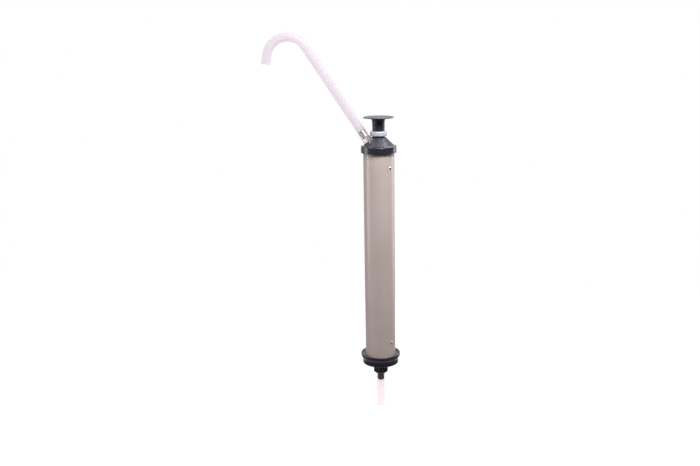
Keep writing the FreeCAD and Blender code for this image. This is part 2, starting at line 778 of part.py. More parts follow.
def make_piston():
    """The piston's carrier, cup and valve stack, with what clamps them to the rod."""
    carrier = turned("piston_body", PISTON, [
        ("rod_radius", "0"),
        ("piston_radius", "0"),
        ("piston_radius", "cup_low"),
        ("cup_seat_radius", "cup_low"),
        ("cup_seat_radius", "cup_low + cup_height"),
        ("piston_radius", "cup_low + cup_height"),
        ("piston_radius", "piston_height"),
        ("rod_radius", "piston_height"),
    ])
    ring_of_ports(carrier, "piston_ports", "port_radius", "port_pitch")
    keep(carrier, "piston_body")
    keep(turned("piston_cup", PISTON + " + cup_low", [
        ("cup_seat_radius", "0"),
        ("cup_heel_radius", "0"),
        ("barrel_radius - barrel_wall - running_gap", "cup_heel"),
        ("barrel_radius - barrel_wall - running_gap", "cup_height - cup_heel"),
        ("cup_lip_radius", "cup_height"),
        ("cup_valley_radius", "cup_valley"),
        ("cup_inner_lip_radius", "cup_height"),
        ("cup_seat_radius", "cup_height"),
    ]), "piston_cup")
    keep(turned("valve_sleeve", PISTON + " + piston_height", [
        ("rod_radius", "0"),
        ("sleeve_radius", "0"),
        ("sleeve_radius", "sleeve_height"),
        ("rod_radius", "sleeve_height"),
    ]), "valve_sleeve")
    keep(turned("piston_valve_disc", PISTON + " + piston_height", [
        ("sleeve_radius + disc_gap", "0"),
        ("piston_disc_radius", "0"),
        ("piston_disc_radius", "disc_height"),
        ("sleeve_radius + disc_gap", "disc_height"),
    ]), "piston_valve_disc")
    keep(turned("valve_stop_washer", PISTON + " + piston_height + sleeve_height", [
        ("rod_radius", "0"),
        ("stop_washer_radius", "0"),
        ("stop_washer_radius", "stop_washer"),
        ("rod_radius", "stop_washer"),
    ]), "valve_stop_washer")
    ring = turned("circlip_ring", PISTON + " + " + CLIP_LOW, [
        ("clip_groove_radius", "0"),
        ("clip_radius", "0"),
        ("clip_radius", "clip_height"),
        ("clip_groove_radius", "clip_height"),
    ])
    opening = doc.addObject("Part::Box", "circlip_opening")
    opening.setExpression("Length", expression("clip_radius + clip_radius"))
    opening.setExpression("Width", expression("clip_opening"))
    opening.setExpression("Height", expression("clip_height"))
    opening.setExpression("Placement.Base.y", "-1 * sizes.clip_opening / 2")
    lift(opening, PISTON + " + " + CLIP_LOW)
    keep(cut("circlip_open", ring, [opening]), "rod_circlip")
    keep(turned("piston_washer", PISTON + " - piston_washer", [
        ("rod_radius", "0"),
        ("piston_washer_radius", "0"),
        ("piston_washer_radius", "piston_washer"),
        ("rod_radius", "piston_washer"),
    ]), "piston_washer")
    nut = doc.addObject("PartDesign::Body", "piston_nut")
    hexagon_pad(nut, "piston_nut_hex", "piston_nut_flats", "rod_radius", "0", "piston_nut")
    lift(nut, PISTON + " - piston_washer - piston_nut")
    keep(nut, "piston_nut")


def make_rod():
    """The rod from the piston nut to the knob, with its circlip groove."""
    tail = "0 - piston_washer - piston_nut - rod_tail"
    keep(turned("piston_rod", PISTON, [
        ("0", tail),
        ("rod_radius", tail),
        ("rod_radius", CLIP_LOW),
        ("clip_groove_radius", CLIP_LOW),
        ("clip_groove_radius", CLIP_LOW + " + clip_height"),
        ("rod_radius", CLIP_LOW + " + clip_height"),
        ("rod_radius", "piston_base + " + KNOB + " + insert_high"),
        ("0", "piston_base + " + KNOB + " + insert_high"),
    ]), "piston_rod")


def make_knob():
    """The mushroom knob and the threaded insert in its stem."""
    knob = turned("knob", KNOB, [
        ("rod_radius", "0"),
        ("knob_stem_radius", "0"),
        ("knob_neck_radius", "knob_neck_height"),
        ("knob_throat_radius", "knob_throat_height"),
        ("knob_under_radius", "knob_under_height"),
        ("knob_radius", "knob_rim_low"),
        ("knob_radius", "knob_rim_high"),
        ("knob_dish_radius", "knob_dish"),
        ("0", "knob_dish"),
        ("0", "insert_high"),
        ("insert_radius", "insert_high"),
        ("insert_radius", "insert_low"),
        ("rod_radius", "insert_low"),
    ])
    dress(knob, "Fillet", "knob_rim", "knob_rim_round", [
        ("knob_radius", "knob_rim_low"),
        ("knob_radius", "knob_rim_high"),
    ])
    keep(knob, "knob")
    keep(turned("knob_insert", KNOB, [
        ("rod_radius", "insert_low"),
        ("insert_radius", "insert_low"),
        ("insert_radius", "insert_high"),
        ("rod_radius", "insert_high"),
    ]), "knob_insert")


# ---------------------------------------------------------------- build, check and export

make_barrel()
make_top_cap()
make_gland()
make_oring("top_cap_oring", "barrel_half - groove_inset")
make_screws("top_cap_screws", "barrel_half - screw_inset")
make_outlet()
make_spout()
make_base_cap()
make_oring("base_cap_oring", "0 - barrel_half + groove_inset")
make_screws("base_cap_screws", "0 - barrel_half + screw_inset")
make_inlet()
make_foot_valve()
make_piston()
make_rod()
make_knob()
doc.recompute()

for item in doc.Objects:
    if "Invalid" in item.State or "Error" in item.State:
        raise RuntimeError("%s did not build: %s" % (item.Label, item.State))
for node in nodes:
    if node.Shape.isNull() or not node.Shape.isValid():
        raise RuntimeError(node.Label + " has no valid shape")

os.makedirs("parts", exist_ok=True)
for node in nodes:
    node.Shape.exportStep("parts/" + node.Label + ".step")
    print("%-20s %2d solid(s) %10.1f mm3" % (node.Label, len(node.Shape.Solids), node.Shape.Volume))
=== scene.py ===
"""Looks of a hand-operated bilge pump: a plastic barrel with two caps, a pull knob and a hooked spout.

The pump's own lengths are in millimetres and the studio's in metres. Angles are in degrees.
"""

import json
import logging
import math
from dataclasses import dataclass, field
from enum import Enum
from typing import Sequence

import bmesh
import bpy
from mathutils import Matrix, Vector


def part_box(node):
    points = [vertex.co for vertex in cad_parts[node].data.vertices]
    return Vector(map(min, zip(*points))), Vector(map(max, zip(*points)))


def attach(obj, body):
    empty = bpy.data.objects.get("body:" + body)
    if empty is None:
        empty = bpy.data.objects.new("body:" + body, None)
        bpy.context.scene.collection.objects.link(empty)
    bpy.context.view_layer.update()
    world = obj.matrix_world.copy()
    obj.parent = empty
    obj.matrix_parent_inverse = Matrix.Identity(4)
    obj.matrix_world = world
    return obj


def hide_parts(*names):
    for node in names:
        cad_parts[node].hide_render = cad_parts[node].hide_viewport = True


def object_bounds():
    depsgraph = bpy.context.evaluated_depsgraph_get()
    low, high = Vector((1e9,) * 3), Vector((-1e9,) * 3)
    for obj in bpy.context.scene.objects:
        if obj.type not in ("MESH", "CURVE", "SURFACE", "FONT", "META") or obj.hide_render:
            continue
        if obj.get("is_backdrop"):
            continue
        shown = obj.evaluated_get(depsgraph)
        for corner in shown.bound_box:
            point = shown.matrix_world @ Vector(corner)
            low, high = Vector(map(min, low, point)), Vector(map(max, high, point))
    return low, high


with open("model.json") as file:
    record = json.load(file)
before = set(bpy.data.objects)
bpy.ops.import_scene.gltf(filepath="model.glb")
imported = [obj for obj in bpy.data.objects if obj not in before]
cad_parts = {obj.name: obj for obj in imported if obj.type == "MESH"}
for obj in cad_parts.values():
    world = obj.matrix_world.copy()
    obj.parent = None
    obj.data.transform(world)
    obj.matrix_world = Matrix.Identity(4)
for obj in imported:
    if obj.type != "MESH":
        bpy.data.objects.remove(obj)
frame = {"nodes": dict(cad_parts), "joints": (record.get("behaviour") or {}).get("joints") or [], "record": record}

LOG = logging.getLogger("bilge_pump")

MM = 0.001
TURN = 2.0 * math.pi
UP = Vector((0.0, 0.0, 1.0))
LATHE_STEPS = 144
SMALL_LATHE_STEPS = 48
ROUND_SEGMENTS = 4
SHARP_ANGLE = math.radians(32.0)
WELD = 1e-6


# ------------------------------------------------------------------ colours and nodes


def linear(code: str) -> tuple[float, float, float, float]:
    """Turn an sRGB hex colour into the linear RGBA that shaders take.

    Args:
        code: The colour as "#rrggbb".

    Returns:
        Red, green, blue and alpha, linear.
    """
    parts = [int(code[start:start + 2], 16) / 255.0 for start in (1, 3, 5)]
    red, green, blue = (p / 12.92 if p <= 0.04045 else ((p + 0.055) / 1.055) ** 2.4 for p in parts)
    return (red, green, blue, 1.0)


def per_metre(size_mm: float) -> float:
    """Give the texture scale whose features are about size_mm wide on Object coordinates."""
    return 1.0 / (size_mm * MM)


def add_node(
    tree: bpy.types.NodeTree,
    kind: str,
    settings: dict[str, object] | None = None,
    inputs: dict[str | int, object] | None = None,
) -> bpy.types.Node:
    """Add a node, set its properties, and fill or link its inputs.

    Args:
        tree: The node tree to add to.
        kind: The node's type name.
        settings: Properties of the node by name.
        inputs: Sockets by name or index, each a plain value or an output socket to link from.

    Returns:
        The new node.
    """
    node = tree.nodes.new(kind)
    for name, setting in (settings or {}).items():
        setattr(node, name, setting)
    for key, source in (inputs or {}).items():
        if isinstance(source, bpy.types.NodeSocket):
            tree.links.new(source, node.inputs[key])
        else:
            node.inputs[key].default_value = source
    return node


PATCH_EDGES = (0.3, 0.7)      # noise values between which one shade turns into the other
SMEAR_EDGES = (0.25, 0.75)    # noise values that give the least and the most gloss
SMEAR_SHARE = 0.4             # size of a smear against that of a colour patch


class Grain(Enum):
    """Which way a finish's fine lines run."""

    EVEN = (1.0, 1.0, 1.0)
    ALONG_Z = (1.0, 1.0, 0.02)
    ROUND_Z = (0.02, 0.02, 1.0)


@dataclass(frozen=True)
class Finish:
    """A real material and the way its surface was made.

    Attributes:
        name: The material's name in the file.
        colour: Its main colour.
        shade: A second colour that it drifts to.
        patch_mm: Size of the drifting patches.
        roughness: Typical roughness.
        roughness_swing: How far the roughness wanders either side.
        grain_mm: Spacing of the fine marks.
        grain: Which way they run.
        relief_mm: Depth of the fine marks.
        sockets: Constant values for the shader's own sockets.
    """

    name: str
    colour: str
    shade: str
    patch_mm: float
    roughness: float
    roughness_swing: float
    grain_mm: float
    grain: Grain
    relief_mm: float
    sockets: tuple[tuple[str, float], ...] = ()

    def material(self) -> bpy.types.Material:
        """Build the material once and give the same one afterwards."""
        found = bpy.data.materials.get(self.name)
        if found is not None:
            return found
        made = bpy.data.materials.new(self.name)
        made.use_nodes = True
        tree = made.node_tree
        tree.nodes.clear()
        shader = self.shader(tree)
        add_node(tree, "ShaderNodeOutputMaterial", inputs={"Surface": shader})
        return made

    def coordinates(self, tree: bpy.types.NodeTree, stretch: Grain) -> bpy.types.NodeSocket:
        """Object coordinates stretched along the grain.

        Args:
            tree: The material's tree.
            stretch: How the axes are scaled.

        Returns:
            The mapped vector.
        """
        place = add_node(tree, "ShaderNodeTexCoord").outputs["Object"]
        return add_node(
            tree, "ShaderNodeMapping", {"vector_type": "POINT"},
            {"Vector": place, "Scale": stretch.value},
        ).outputs["Vector"]

    def tint(self, tree: bpy.types.NodeTree) -> bpy.types.NodeSocket:
        """Colour that drifts between the two shades in soft patches."""
        patches = add_node(
            tree, "ShaderNodeTexNoise", {},
            {"Vector": self.coordinates(tree, Grain.EVEN), "Scale": per_metre(self.patch_mm),
             "Detail": 4.0, "Roughness": 0.55},
        ).outputs["Fac"]
        spread = add_node(
            tree, "ShaderNodeMapRange", {},
            {"Value": patches, "From Min": PATCH_EDGES[0], "From Max": PATCH_EDGES[1]},
        ).outputs["Result"]
        return add_node(
            tree, "ShaderNodeMix", {"data_type": "RGBA"},
            {"Factor": spread, 6: linear(self.colour), 7: linear(self.shade)},
        ).outputs[2]

    def gloss(self, tree: bpy.types.NodeTree) -> bpy.types.NodeSocket:
        """Roughness that wanders as handling and dust leave it."""
        smears = add_node(
            tree, "ShaderNodeTexNoise", {},
            {"Vector": self.coordinates(tree, self.grain), "Scale": per_metre(self.patch_mm * SMEAR_SHARE),
             "Detail": 6.0, "Roughness": 0.6},
        ).outputs["Fac"]
        return add_node(
            tree, "ShaderNodeMapRange", {},
            {"Value": smears, "From Min": SMEAR_EDGES[0], "From Max": SMEAR_EDGES[1],
             "To Min": self.roughness - self.roughness_swing,
             "To Max": self.roughness + self.roughness_swing},
        ).outputs["Result"]

    def relief(self, tree: bpy.types.NodeTree) -> bpy.types.NodeSocket:
        """Fine marks that the tool or the mould left in the surface."""
        marks = add_node(
            tree, "ShaderNodeTexNoise", {},
            {"Vector": self.coordinates(tree, self.grain), "Scale": per_metre(self.grain_mm),
             "Detail": 3.0, "Roughness": 0.5},
        ).outputs["Fac"]
        return add_node(
            tree, "ShaderNodeBump", {},
            {"Height": marks, "Strength": 1.0, "Distance": self.relief_mm * MM},
        ).outputs["Normal"]

    def shader(self, tree: bpy.types.NodeTree) -> bpy.types.NodeSocket:
        """The finished surface shader."""
        node = add_node(
            tree, "ShaderNodeBsdfPrincipled", {},
            {"Base Color": self.tint(tree), "Roughness": self.gloss(tree), "Normal": self.relief(tree)},
        )
        for socket, number in self.sockets:
            node.inputs[socket].default_value = number
        return node.outputs["BSDF"]


# Extruded grey-brown PVC pipe: satin, with faint lines along it from the die.
PIPE_PVC = Finish(
    "extruded_pvc_pipe", "#92847d", "#8c7e76", 60.0, 0.36, 0.05, 1.4, Grain.ALONG_Z, 0.012,
    (("IOR", 1.53), ("Specular IOR Level", 0.5)),
)
# Injection-moulded black ABS: glossy, with a shallow orange-peel ripple and a cool cast.
CAP_ABS = Finish(
    "moulded_black_abs", "#15131a", "#1b1921", 25.0, 0.31, 0.05, 2.2, Grain.EVEN, 0.006,
    (("IOR", 1.52),),
)
# The same ABS from a polished mould for the base cap: its rim mirrors the barrel.
BASE_ABS = Finish(
    "polished_black_abs", "#15131a", "#1b1921", 25.0, 0.2, 0.04, 2.2, Grain.EVEN, 0.004,
    (("IOR", 1.52),),
)
# Injection-moulded black nylon of the hose fitting: a little duller than the caps.
FITTING_NYLON = Finish(
    "moulded_black_nylon", "#0e0d10", "#141317", 15.0, 0.32, 0.06, 1.2, Grain.EVEN, 0.008,
    (("IOR", 1.53),),
)
# Moulded black polypropylene knob: satin from handling, with faint flow lines.
KNOB_PP = Finish(
    "moulded_black_polypropylene", "#19191c", "#1f1f23", 18.0, 0.46, 0.06, 1.6, Grain.EVEN, 0.01,
    (("IOR", 1.49),),
)
# Turned natural nylon: a dull milky grey, with faint rings from the lathe.
RING_NYLON = Finish(
    "turned_natural_nylon", "#8f8d92", "#868489", 9.0, 0.5, 0.05, 0.5, Grain.ROUND_Z, 0.01,
    (("IOR", 1.53), ("Subsurface Weight", 0.1), ("Subsurface Scale", 0.002)),
)
# Turned PTFE bush: white and waxy.
BUSH_PTFE = Finish(
    "turned_ptfe", "#ecebe6", "#e2e1db", 8.0, 0.45, 0.05, 0.5, Grain.ROUND_Z, 0.01,
    (("IOR", 1.38), ("Subsurface Weight", 0.2), ("Subsurface Scale", 0.002)),
)
# Machined white acetal of the piston, sleeve and valve seat: dense, slightly creamy, satin.
VALVE_ACETAL = Finish(
    "machined_white_acetal", "#dcdbd3", "#d0cfc6", 10.0, 0.34, 0.05, 0.6, Grain.ROUND_Z, 0.012,
    (("IOR", 1.48),),
)
# Moulded nitrile rubber: black, dull, with a fine dusty grain.
SEAL_NITRILE = Finish(
    "moulded_nitrile_rubber", "#161616", "#1f1f1e", 6.0, 0.62, 0.08, 0.35, Grain.EVEN, 0.02,
    (("IOR", 1.52),),
)
# Nickel plate over turned brass: warm silver gone slightly dull, with faint rings from turning.
TAIL_NICKEL = Finish(
    "bright_nickel_plate", "#cac4bf", "#beb8b3", 7.0, 0.28, 0.05, 0.7, Grain.ROUND_Z, 0.004,
    (("Metallic", 1.0),),
)
# Centreless-ground stainless bar: fine rings round the rod.
ROD_STAINLESS = Finish(
    "ground_stainless_bar", "#b9b9ba", "#a9a9ab", 30.0, 0.24, 0.06, 0.35, Grain.ROUND_Z, 0.003,
    (("Metallic", 1.0), ("Anisotropic", 0.4)),
)
# Cold-headed stainless of the screws, washers, pin and nut: pale grey satin, slightly pitted.
HARDWARE_STAINLESS = Finish(
    "cold_headed_stainless", "#c6c4c4", "#b9b7b7", 4.0, 0.4, 0.07, 0.4, Grain.EVEN, 0.006,
    (("Metallic", 1.0),),
)
# Knurled turned brass of the insert moulded into the knob.
INSERT_BRASS = Finish(
    "turned_brass", "#c9a45c", "#b8924c", 5.0, 0.28, 0.06, 0.5, Grain.ROUND_Z, 0.02,
    (("Metallic", 1.0),),
)


@dataclass(frozen=True)
class MilkyTube(Finish):
    """Extruded soft-grade PVC tube: cloudy, so that it glows pale and shows what is close behind it.

    Attributes:
        glow: Share of the wall that passes light on as a soft glow.
        clear: Share that is simply clear.
        gap: Tint of the clear share.
    """

    glow: float = 0.5
    clear: float = 0.8
    gap: str = "#fefcfd"

    def shader(self, tree: bpy.types.NodeTree) -> bpy.types.NodeSocket:
        """Mix a pale satin skin, the light that soaks through it, and a share that is simply clear."""
        skin = add_node(
            tree, "ShaderNodeBsdfPrincipled", {},
            {"Base Color": self.tint(tree), "Roughness": self.gloss(tree), "Normal": self.relief(tree),
             "IOR": 1.5},
        ).outputs["BSDF"]
        soaked = add_node(
            tree, "ShaderNodeBsdfTranslucent", {}, {"Color": linear(self.shade)},
        ).outputs["BSDF"]
        wall = add_node(tree, "ShaderNodeMixShader", {}, {0: self.glow, 1: skin, 2: soaked}).outputs["Shader"]
        gap = add_node(tree, "ShaderNodeBsdfTransparent", {}, {"Color": linear(self.gap)}).outputs["BSDF"]
        return add_node(tree, "ShaderNodeMixShader", {}, {0: self.clear, 1: wall, 2: gap}).outputs["Shader"]


# Extruded soft-grade PVC of the spout: milky, with a pink cast.
SPOUT_PVC = MilkyTube(
    "milky_pvc_spout", "#c1b7bb", "#bcb2b6", 35.0, 0.34, 0.05, 3.0, Grain.EVEN, 0.02,
)
# The same PVC in a clearer batch under the pump, where the barb shows darkly through it.
SUCTION_PVC = MilkyTube(
    "clearer_pvc_tube", "#ede1e2", "#e8dcdd", 30.0, 0.3, 0.05, 3.0, Grain.EVEN, 0.02,
    clear=0.88, gap="#fffcfc",
)


# ------------------------------------------------------------------ mesh tools


@dataclass(frozen=True)
class Corner:
    """A corner of a turned outline, in millimetres, rounded over a length each side of it."""

    radius: float
    height: float
    rounding: float = 0.0


def at(radius: float, height: float, rounding: float = 0.0) -> Corner:
    """Name a corner of an outline by its radius and height."""
    return Corner(radius, height, rounding)


def lathe(outline: Sequence[Corner], steps: int = LATHE_STEPS) -> bmesh.types.BMesh:
    """Turn an outline about +Z into a closed solid.

    Args:
        outline: Corners in order round the section; one that touches the axis starts and ends there.
        steps: Facets round the axis.

    Returns:
        The turned solid, with outward faces.
    """
    solid = bmesh.new()
    corners = [solid.verts.new((c.radius * MM, 0.0, c.height * MM)) for c in outline]
    solid.faces.new(corners)
    for vert, corner in zip(corners, outline):
        if corner.rounding > 0.0:
            bmesh.ops.bevel(
                solid, geom=[vert], affect="VERTICES", offset=corner.rounding * MM, offset_type="OFFSET",
                segments=ROUND_SEGMENTS, profile=0.5, material=-1,
            )
    bmesh.ops.delete(solid, geom=solid.faces[:], context="FACES_ONLY")
    on_axis = [e for e in solid.edges if all(v.co.x < WELD for v in e.verts)]
    bmesh.ops.delete(solid, geom=on_axis, context="EDGES")
    bmesh.ops.spin(
        solid, geom=solid.verts[:] + solid.edges[:], cent=(0.0, 0.0, 0.0), axis=UP,
        angle=TURN, steps=steps, use_merge=True,
    )
    return tidy(solid)


def tidy(solid: bmesh.types.BMesh) -> bmesh.types.BMesh:
    """Weld doubled points and turn every face outwards."""
    bmesh.ops.remove_doubles(solid, verts=solid.verts[:], dist=WELD)
    bmesh.ops.recalc_face_normals(solid, faces=solid.faces[:])
    return solid


def rod(radius: float, low: float, high: float, steps: int = SMALL_LATHE_STEPS) -> bmesh.types.BMesh:
    """Make a plain solid cylinder on the axis, in millimetres."""
    solid = bmesh.new()
    bmesh.ops.create_cone(
        solid, cap_ends=True, segments=steps, radius1=radius * MM, radius2=radius * MM,
        depth=(high - low) * MM,
    )
    bmesh.ops.translate(solid, verts=solid.verts[:], vec=(0.0, 0.0, (low + high) / 2.0 * MM))
    return solid


def hexagon(flats: float, low: float, high: float) -> bmesh.types.BMesh:
    """Make a hexagonal prism on the axis with a flat facing +X, in millimetres."""
    solid = rod(flats / math.sqrt(3.0), low, high, 6)
    first = max(math.atan2(v.co.y, v.co.x) for v in solid.verts if v.co.x > 0.0)
    turn = Matrix.Rotation(math.radians(30.0) - first, 3, "Z")
    bmesh.ops.rotate(solid, verts=solid.verts[:], cent=(0.0, 0.0, 0.0), matrix=turn)
    return solid


def scratch_object(solid: bmesh.types.BMesh) -> bpy.types.Object:
    """Put a solid in a throwaway object."""
    mesh = bpy.data.meshes.new("scratch")
    solid.to_mesh(mesh)
    solid.free()
    made = bpy.data.objects.new("scratch", mesh)
    bpy.context.scene.collection.objects.link(made)
    return made


def combine(base: bmesh.types.BMesh, tool: bmesh.types.BMesh, operation: str) -> bmesh.types.BMesh:
    """Join, cut or intersect two closed solids.

    Args:
        base: The solid that is kept.
        tool: The solid that acts on it.
        operation: "UNION", "DIFFERENCE" or "INTERSECT".

    Returns:
        A new solid.
    """
    kept = scratch_object(base)
    used = scratch_object(tool)
    action = kept.modifiers.new("combine", "BOOLEAN")
    action.operation = operation
    action.solver = "EXACT"
    action.object = used
    bpy.context.view_layer.update()
    result = bmesh.new()
    result.from_object(kept, bpy.context.evaluated_depsgraph_get())
    for done in (kept, used):
        mesh = done.data
        bpy.data.objects.remove(done)
        bpy.data.meshes.remove(mesh)
    bmesh.ops.dissolve_degenerate(result, dist=WELD, edges=result.edges[:])
    return result


def piece(
    name: str,
    solid: bmesh.types.BMesh,
    finish: Finish,
    stands_for: Sequence[str],
    place: Matrix | None = None,
) -> bpy.types.Object:
    """Finish a solid as a visible piece that stands for CAD nodes and rides with their body.

    Args:
        name: The piece's name.
        solid: Its mesh, which is used up.
        finish: Its material.
        stands_for: The CAD nodes that it replaces.
        place: Where the mesh goes, from its own axis to the frame.

    Returns:
        The new object.
    """
    if place is not None:
        moved(solid, place)
    for face in solid.faces:
        face.smooth = True
    for edge in solid.edges:
        edge.smooth = len(edge.link_faces) == 2 and edge.calc_face_angle(0.0) < SHARP_ANGLE
    mesh = bpy.data.meshes.new(name)
    solid.to_mesh(mesh)
    solid.free()
    mesh.materials.append(finish.material())
    made = bpy.data.objects.new(name, mesh)
    bpy.context.scene.collection.objects.link(made)
    weights = made.modifiers.new("even_shading", "WEIGHTED_NORMAL")
    weights.keep_sharp = True
    first = stands_for[0]
    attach(made, body_of(first))
    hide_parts(*stands_for)
    LOG.info("%s: %d faces, %s", name, len(mesh.polygons), finish.name)
    return made


def body_of(node: str) -> str:
    """Name the body that a CAD node is on."""
    bodies = frame["record"]["behaviour"]["bodies"]
    return next(body for body, members in bodies.items() if node in members)


def span(node: str) -> tuple[float, float]:
    """Give a CAD node's lowest and highest point, in millimetres."""
    low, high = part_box(node)
    return low[2] / MM, high[2] / MM


def girth(node: str) -> float:
    """Give the outer radius of a round CAD node on the pump's axis, in millimetres."""
    low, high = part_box(node)
    return (high[1] - low[1]) / 2.0 / MM


def lifted(height: float) -> Matrix:
    """Place a piece on the pump's axis at this height in millimetres."""
    return Matrix.Translation((0.0, 0.0, height * MM))


def moved(solid: bmesh.types.BMesh, place: Matrix) -> bmesh.types.BMesh:
    """Move a solid and hand it back."""
    bmesh.ops.transform(solid, matrix=place, verts=solid.verts[:])
    return solid


# ------------------------------------------------------------------ barrel and its screws


@dataclass
class Barrel:
    """The length of pipe that the piston works in, and the screws that pin the caps to it."""

    wall: float = 2.4
    mouth_round: float = 0.4
    screw_head: float = 2.3
    screw_rise: float = 1.1
    screw_shank: float = 1.2
    screw_depth: float = 5.5
    recess_arm: float = 1.3
    recess_width: float = 0.55
    recess_depth: float = 0.6
    recess_turn: float = 20.0
    head_round: float = 0.15
    dome_share: float = 0.75
    azimuths: tuple[float, float] = (-45.0, 135.0)

    def build(self) -> None:
        """Make the pipe and both pairs of screws."""
        self.pipe()
        for node in ("top_cap_screws", "base_cap_screws"):
            self.screws(node)

    def pipe(self) -> None:
        """Turn the pipe, with the edges of its cut ends slightly broken."""
        radius = girth("barrel_tube")
        low, high = span("barrel_tube")
        bore = radius - self.wall
        rounding = self.mouth_round
        tube = lathe([
            at(bore, low, rounding), at(radius, low, rounding),
            at(radius, high, rounding), at(bore, high, rounding),
        ])
        piece("barrel_pipe", tube, PIPE_PVC, ["barrel_tube"])

    def screw(self) -> bmesh.types.BMesh:
        """Shape one pan-head screw with a cross recess, its head on +Z."""
        dome = self.screw_rise * self.dome_share
        body = lathe([
            at(0.0, -self.screw_depth), at(self.screw_shank, -self.screw_depth),
            at(self.screw_shank, 0.0), at(self.screw_head, 0.0, self.head_round),
            at(self.screw_head, self.screw_rise, dome), at(0.0, self.screw_rise),
        ], SMALL_LATHE_STEPS)
        for quarter in range(2):
            arm = bmesh.new()
            bmesh.ops.create_cube(arm, size=1.0)
            size = (2.0 * self.recess_arm * MM, self.recess_width * MM, 2.0 * self.recess_depth * MM)
            bmesh.ops.scale(arm, verts=arm.verts[:], vec=size)
            turn = Matrix.Rotation(math.radians(90.0 * quarter + self.recess_turn), 3, "Z")
            bmesh.ops.rotate(arm, verts=arm.verts[:], cent=(0.0, 0.0, 0.0), matrix=turn)
            bmesh.ops.translate(arm, verts=arm.verts[:], vec=(0.0, 0.0, self.screw_rise * MM))
            body = combine(body, arm, "DIFFERENCE")
        return body

    def screws(self, node: str) -> None:
        """Set one cap's two screws on the barrel, opposite each other.

        Args:
            node: The CAD node of the pair.
        """
        low, high = span(node)
        height = (low + high) / 2.0
        pair = bmesh.new()
        for azimuth in self.azimuths:
            heading = Matrix.Rotation(math.radians(azimuth), 4, "Z")
            outward = Matrix.Rotation(math.radians(90.0), 4, "Y")
            shift = Matrix.Translation((girth("barrel_tube") * MM, 0.0, height * MM))
            one = moved(self.screw(), heading @ shift @ outward)
            mesh = bpy.data.meshes.new("scratch")
            one.to_mesh(mesh)
            one.free()
            pair.from_mesh(mesh)
            bpy.data.meshes.remove(mesh)
        piece(node + "_pan_heads", pair, HARDWARE_STAINLESS, [node])


# ------------------------------------------------------------------ nozzle axis


@dataclass
class Nozzle:
    """The leaning axis that the cap's seat, the hose tail and the spout share."""

    seat: float = 30.1
    washer: float = 0.6
    hexagon_length: float = 7.8
    tube_gap: float = 0.2
    place: Matrix = field(init=False)

    def __post_init__(self) -> None:
        """Read the axis from the spout's joint, with its zero where it meets the pump's axis."""
        joint = next(row for row in frame["joints"] if row["name"] == "spout_swivel")
        axis = Vector(joint["axis"]).normalized()
        point = Vector(joint["pos_m"])
        root = point - axis * (point.x / axis.x)
        self.place = Matrix.Translation(root) @ Matrix.Rotation(math.atan2(axis.x, axis.z), 4, "Y")


# ------------------------------------------------------------------ top cap and gland


